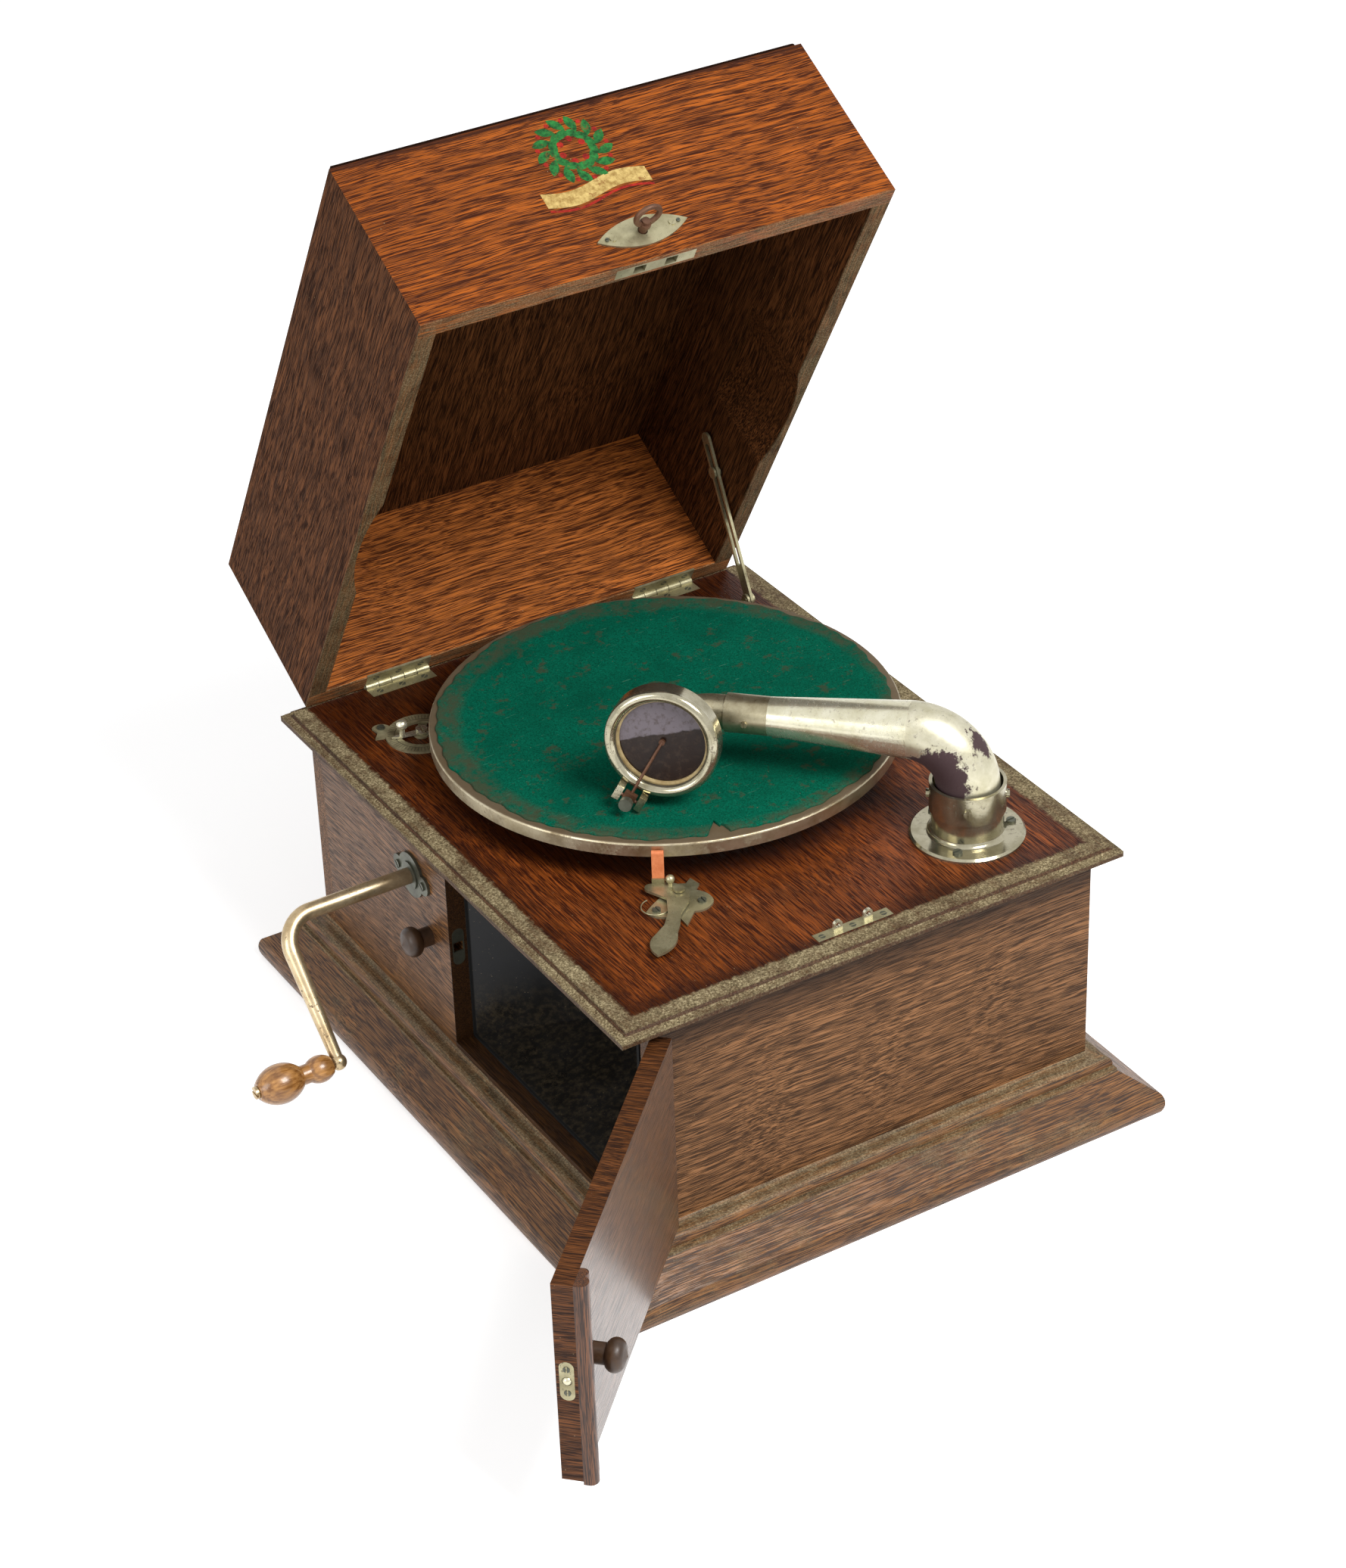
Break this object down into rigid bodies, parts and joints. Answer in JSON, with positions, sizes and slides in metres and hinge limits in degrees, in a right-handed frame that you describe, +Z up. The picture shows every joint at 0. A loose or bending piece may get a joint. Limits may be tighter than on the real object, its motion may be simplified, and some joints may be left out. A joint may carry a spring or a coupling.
{
  "type": "table-top gramophone",
  "caption": "Wind-up table gramophone: oak box with hinged lid, side crank, swinging tonearm with soundbox, felt turntable and an inside horn behind a side door",
  "frame": {"origin": "Middle of the underside of the base, on the floor", "axes": "+Z up; -Y is the front with the lid lock; -X is the side with the crank and the door"},
  "size_m": [0.4348, 0.5872, 0.5206],
  "materials": {
    "oak": "stained oak, worn varnish",
    "knob_wood": "dark turned wood",
    "handle_wood": "golden turned wood",
    "black_enamel": "black satin enamel",
    "fitting_steel": "tarnished nickel on steel",
    "nickel": "worn nickel plate",
    "rusty_steel": "rusted steel",
    "worn_brass": "worn plated steel",
    "motor_steel": "plain steel",
    "felt": "green wool felt",
    "gasket": "cream rubber",
    "mica": "mica sheet",
    "pad_leather": "tan leather"
  },
  "bodies": {
    "cabinet": {"base_board": "oak", "plinth_mouldings": "oak", "front_panel": "oak", "back_panel": "oak", "right_panel": "oak", "left_panel": "oak", "motor_board": "oak", "horn": "black_enamel", "throat_elbow": "black_enamel", "crank_escutcheon": "fitting_steel", "side_knob": "knob_wood", "strike_plate": "fitting_steel", "lid_hinge_lower": "fitting_steel", "door_hinge_fixed": "fitting_steel", "lid_catch": "fitting_steel", "stay_bracket": "fitting_steel", "tonearm_base": "nickel", "brake_plate": "nickel", "speed_dial": "nickel", "deck_screws": "fitting_steel", "motor_plate": "motor_steel", "motor_lower_plate": "motor_steel"},
    "lid": {"lid_front": "oak", "lid_back": "oak", "lid_sides": "oak", "lid_top": "oak", "lid_hinge_upper": "fitting_steel", "lock_case": "fitting_steel", "lock_escutcheon": "fitting_steel"},
    "key": {"lid_key": "rusty_steel"},
    "stay": {"lid_stay": "fitting_steel"},
    "stud": {"stay_stud": "fitting_steel"},
    "door": {"door_panel": "oak", "door_astragal": "oak", "door_knob": "knob_wood", "door_hinge_moving": "fitting_steel", "catch_plate": "fitting_steel"},
    "catch": {"catch_ball": "fitting_steel"},
    "crank": {"crank_arm": "worn_brass", "winding_pinion": "motor_steel"},
    "handle": {"crank_handle": "handle_wood"},
    "turntable": {"turntable": "nickel", "turntable_felt": "felt", "spindle": "motor_steel"},
    "tonearm": {"tonearm_elbow": "nickel", "tonearm_tube": "nickel", "tonearm_sleeve": "nickel"},
    "soundbox": {"gooseneck": "nickel", "soundbox_case": "nickel", "soundbox_gaskets": "gasket", "diaphragm": "mica"},
    "stylus": {"stylus_bar": "rusty_steel"},
    "needle_screw": {"needle_screw": "nickel"},
    "brake": {"brake_lever": "nickel", "brake_pad": "pad_leather"},
    "speed": {"speed_lever": "nickel"},
    "barrel": {"spring_barrel": "motor_steel"},
    "arbor": {"barrel_arbor": "motor_steel"},
    "second": {"second_wheel": "motor_steel"},
    "governor": {"governor": "motor_steel"}
  },
  "joints": [
    {"name": "lid_hinge", "type": "hinge", "parent": "cabinet", "child": "lid", "pos_m": [0, 0.1793, 0.1682], "axis": [-1, 0, 0], "range_deg": [-60, 0]},
    {"name": "key_turn", "type": "hinge", "parent": "lid", "child": "key", "pos_m": [-0.004, 0.01988, 0.47892], "axis": [0, -0.5, 0.866], "range_deg": [0, 90]},
    {"name": "stay_swing", "type": "hinge", "parent": "cabinet", "child": "stay", "pos_m": [0.1239, 0.1339, 0.1736], "axis": [-1, 0, 0], "range_deg": [-77, 0]},
    {"name": "stud_slide", "type": "slide", "parent": "stay", "child": "stud", "axis": [0, 0.4426, 0.8967], "range_m": [-0.046, 0]},
    {"name": "door_hinge", "type": "hinge", "parent": "cabinet", "child": "door", "pos_m": [-0.12855, -0.173, 0.097], "axis": [0, 0, 1], "range_deg": [-135, 0]},
    {"name": "catch_press", "type": "slide", "parent": "door", "child": "catch", "axis": [0.7071, 0.7071, 0], "range_m": [0, 0.0012], "stiffness_N_per_m": 300},
    {"name": "crank_turn", "type": "hinge", "parent": "cabinet", "child": "crank", "pos_m": [-0.13925, 0.057, 0.1264], "axis": [1, 0, 0], "continuous": true},
    {"name": "handle_spin", "type": "hinge", "parent": "crank", "child": "handle", "pos_m": [-0.21525, 0.00735, 0.0635], "axis": [1, 0, 0], "continuous": true},
    {"name": "turntable_spin", "type": "hinge", "parent": "cabinet", "child": "turntable", "pos_m": [0.0035, 0.02751, 0.185], "axis": [0, 0, 1], "continuous": true},
    {"name": "tonearm_swing", "type": "hinge", "parent": "cabinet", "child": "tonearm", "pos_m": [0.0924, -0.127, 0.2], "axis": [0, 0, 1], "range_deg": [-20, 20]},
    {"name": "soundbox_turn", "type": "hinge", "parent": "tonearm", "child": "soundbox", "pos_m": [-0.01554, -0.02055, 0.2273], "axis": [-0.712, 0.7022, 0], "range_deg": [0, 70]},
    {"name": "stylus_rock", "type": "hinge", "parent": "soundbox", "child": "stylus", "pos_m": [-0.06283, -0.04578, 0.2019], "axis": [-0.5982, 0.6508, 0.4675], "range_deg": [-0.4, 0.4], "stiffness_Nm_per_rad": 0.5},
    {"name": "needle_screw_turn", "type": "hinge", "parent": "stylus", "child": "needle_screw", "pos_m": [-0.06283, -0.04578, 0.2019], "axis": [-0.6992, -0.709, 0.0924], "continuous": true},
    {"name": "brake_swing", "type": "hinge", "parent": "cabinet", "child": "brake", "pos_m": [-0.06329, -0.09398, 0.17], "axis": [0, 0, 1], "range_deg": [0, 12]},
    {"name": "speed_swing", "type": "hinge", "parent": "cabinet", "child": "speed", "pos_m": [-0.0976, 0.1183, 0.17], "axis": [0, 0, 1], "range_deg": [-35, 35]},
    {"name": "barrel_spin", "type": "hinge", "parent": "cabinet", "child": "barrel", "pos_m": [-0.055, 0.057, 0.08], "axis": [0, 0, 1], "continuous": true},
    {"name": "arbor_spin", "type": "hinge", "parent": "cabinet", "child": "arbor", "pos_m": [-0.055, 0.057, 0.11], "axis": [0, 0, 1], "continuous": true},
    {"name": "second_spin", "type": "hinge", "parent": "cabinet", "child": "second", "pos_m": [0.00028, 0.06738, 0.1], "axis": [0, 0, 1], "continuous": true},
    {"name": "governor_spin", "type": "hinge", "parent": "cabinet", "child": "governor", "pos_m": [0.0307, 0.02751, 0.125], "axis": [0, 1, 0], "continuous": true}
  ],
  "couplings": [
    {"joint": "stay_swing", "follows": "lid_hinge", "ratio": 1.258},
    {"joint": "stud_slide", "follows": "lid_hinge", "m_per_rad": 0.041843},
    {"joint": "barrel_spin", "follows": "turntable_spin", "ratio": 0.0625},
    {"joint": "second_spin", "follows": "turntable_spin", "ratio": -0.25},
    {"joint": "governor_spin", "follows": "turntable_spin", "ratio": 10},
    {"joint": "arbor_spin", "follows": "crank_turn", "ratio": -0.5}
  ]
}
